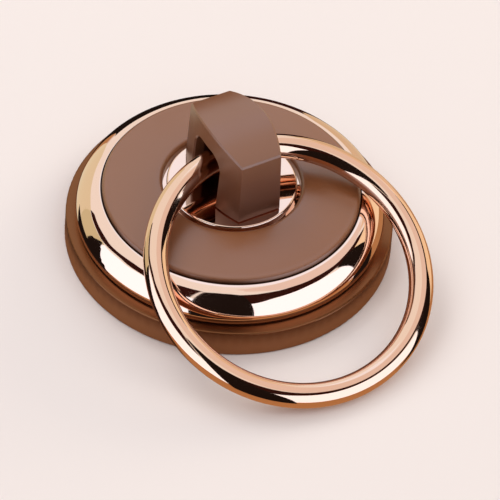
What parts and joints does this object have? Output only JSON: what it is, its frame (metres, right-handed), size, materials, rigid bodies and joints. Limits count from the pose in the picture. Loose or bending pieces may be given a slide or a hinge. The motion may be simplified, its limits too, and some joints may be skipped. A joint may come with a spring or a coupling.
{
  "type": "ring pull handle",
  "caption": "Loose ring pull held in an arched post on a domed round base, for a drawer or cabinet door.",
  "frame": {"origin": "centre of the two door screw holes, in the plane of the base's back face", "axes": "+Z out of the door along the base's axis, -Y down the door, where the ring hangs, +X across along the ring's hinge"},
  "size_m": [0.06, 0.0759, 0.0282],
  "materials": {
    "satin_bronze": "satin brown bronze coating on die-cast zinc",
    "polished_copper": "polished rose copper plating on die-cast zinc",
    "zinc_plated_steel": "bright zinc plating"
  },
  "bodies": {
    "mounting": {"base_body": "satin_bronze", "bead_ring": "polished_copper", "cover_disc": "satin_bronze", "centre_plate": "polished_copper", "post": "satin_bronze", "post_screws": "zinc_plated_steel", "spring_washers": "zinc_plated_steel"},
    "ring": {"pull_ring": "polished_copper"}
  },
  "joints": [
    {"name": "ring_swing", "type": "hinge", "parent": "mounting", "child": "ring", "pos_m": [0, 0.0011, 0.0194], "axis": [-1, 0, 0], "range_deg": [0, 221.5]}
  ]
}
